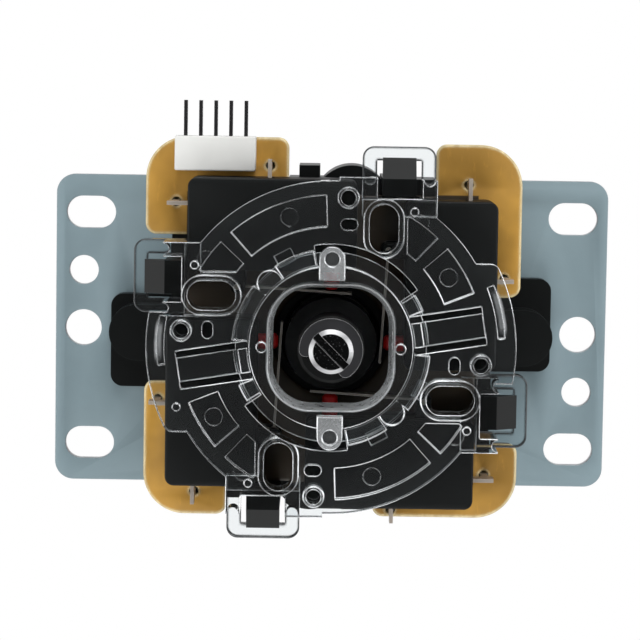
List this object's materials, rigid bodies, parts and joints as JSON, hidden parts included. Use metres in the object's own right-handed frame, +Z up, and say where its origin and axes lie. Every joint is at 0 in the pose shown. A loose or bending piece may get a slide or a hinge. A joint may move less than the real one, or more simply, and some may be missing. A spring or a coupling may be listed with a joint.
{
  "type": "arcade joystick",
  "caption": "Arcade joystick with a flat mounting plate, ball-top shaft on a sprung pivot, lever microswitches on a notched circuit board and a clear gate with a turnable restrictor ring.",
  "frame": {"origin": "on the shaft's axis at the upper face of the mounting plate, the face that meets the panel", "axes": "+Z up along the shaft to the ball top, +X along the plate's long side"},
  "size_m": [0.095, 0.0723, 0.0998],
  "materials": {
    "plate_paint": "satin",
    "bright_steel": "satin",
    "shaft_steel": "polished",
    "dark_steel": "satin",
    "black_plastic": "satin",
    "white_plastic": "satin",
    "red_plastic": "gloss",
    "ball_plastic": "gloss",
    "clear_plastic": "clear",
    "board": "satin",
    "dark_pins": "satin",
    "contact_brass": "satin",
    "insert_brass": "satin"
  },
  "bodies": {
    "base": {"mounting_plate": "plate_paint", "plate_screws": "bright_steel", "base_housing": "black_plastic", "circuit_board": "board", "header_housing": "white_plastic", "header_pins": "dark_pins", "lever_pins": "bright_steel", "gate_plate": "clear_plastic", "switch_case_front": "black_plastic", "switch_cover_front": "black_plastic", "switch_terminals_front": "bright_steel", "switch_contact_front": "contact_brass", "switch_case_right": "black_plastic", "switch_cover_right": "black_plastic", "switch_terminals_right": "bright_steel", "switch_contact_right": "contact_brass", "switch_case_back": "black_plastic", "switch_cover_back": "black_plastic", "switch_terminals_back": "bright_steel", "switch_contact_back": "contact_brass", "switch_case_left": "black_plastic", "switch_cover_left": "black_plastic", "switch_terminals_left": "bright_steel", "switch_contact_left": "contact_brass"},
    "bearing": {"pivot_bush": "black_plastic"},
    "lever": {"shaft": "shaft_steel", "pivot_ball": "white_plastic", "spring_seat": "black_plastic", "centring_spring": "bright_steel", "actuator": "black_plastic", "clip_ring": "dark_steel", "ball_top": "ball_plastic", "ball_insert": "insert_brass", "dust_washer": "black_plastic"},
    "restrictor": {"restrictor_ring": "clear_plastic"},
    "switch_lever_front": {"switch_lever_front": "bright_steel"},
    "switch_plunger_front": {"switch_plunger_front": "red_plastic"},
    "switch_lever_right": {"switch_lever_right": "bright_steel"},
    "switch_plunger_right": {"switch_plunger_right": "red_plastic"},
    "switch_lever_back": {"switch_lever_back": "bright_steel"},
    "switch_plunger_back": {"switch_plunger_back": "red_plastic"},
    "switch_lever_left": {"switch_lever_left": "bright_steel"},
    "switch_plunger_left": {"switch_plunger_left": "red_plastic"}
  },
  "joints": [
    {"name": "tilt_x", "type": "hinge", "parent": "base", "child": "bearing", "pos_m": [0, 0, -0.008], "axis": [1, 0, 0], "range_deg": [-6, 6], "stiffness_Nm_per_rad": 0.7},
    {"name": "tilt_y", "type": "hinge", "parent": "bearing", "child": "lever", "pos_m": [0, 0, -0.008], "axis": [0, 1, 0], "range_deg": [-6, 6], "stiffness_Nm_per_rad": 0.7},
    {"name": "ring_turn", "type": "hinge", "parent": "base", "child": "restrictor", "pos_m": [0, 0, -0.031], "axis": [0, 0, 1], "range_deg": [0, 45]},
    {"name": "lever_front_hinge", "type": "hinge", "parent": "base", "child": "switch_lever_front", "pos_m": [-0.0155, -0.00927, -0.02075], "axis": [0, 0, 1], "range_deg": [-5, 5]},
    {"name": "plunger_front_slide", "type": "slide", "parent": "base", "child": "switch_plunger_front", "axis": [0, -1, 0], "range_m": [-0.0014, 0.0014]},
    {"name": "lever_right_hinge", "type": "hinge", "parent": "base", "child": "switch_lever_right", "pos_m": [0.00927, -0.0155, -0.02075], "axis": [0, 0, 1], "range_deg": [-5, 5]},
    {"name": "plunger_right_slide", "type": "slide", "parent": "base", "child": "switch_plunger_right", "axis": [1, 0, 0], "range_m": [-0.0014, 0.0014]},
    {"name": "lever_back_hinge", "type": "hinge", "parent": "base", "child": "switch_lever_back", "pos_m": [0.0155, 0.00927, -0.02075], "axis": [0, 0, 1], "range_deg": [-5, 5]},
    {"name": "plunger_back_slide", "type": "slide", "parent": "base", "child": "switch_plunger_back", "axis": [0, 1, 0], "range_m": [-0.0014, 0.0014]},
    {"name": "lever_left_hinge", "type": "hinge", "parent": "base", "child": "switch_lever_left", "pos_m": [-0.00927, 0.0155, -0.02075], "axis": [0, 0, 1], "range_deg": [-5, 5]},
    {"name": "plunger_left_slide", "type": "slide", "parent": "base", "child": "switch_plunger_left", "axis": [-1, 0, 0], "range_m": [-0.0014, 0.0014]}
  ],
  "couplings": [
    {"joint": "lever_front_hinge", "follows": "tilt_x", "ratio": 0.82258},
    {"joint": "plunger_front_slide", "follows": "tilt_x", "m_per_rad": -0.01275},
    {"joint": "lever_right_hinge", "follows": "tilt_y", "ratio": 0.82258},
    {"joint": "plunger_right_slide", "follows": "tilt_y", "m_per_rad": -0.01275},
    {"joint": "lever_back_hinge", "follows": "tilt_x", "ratio": -0.82258},
    {"joint": "plunger_back_slide", "follows": "tilt_x", "m_per_rad": 0.01275},
    {"joint": "lever_left_hinge", "follows": "tilt_y", "ratio": -0.82258},
    {"joint": "plunger_left_slide", "follows": "tilt_y", "m_per_rad": 0.01275}
  ]
}
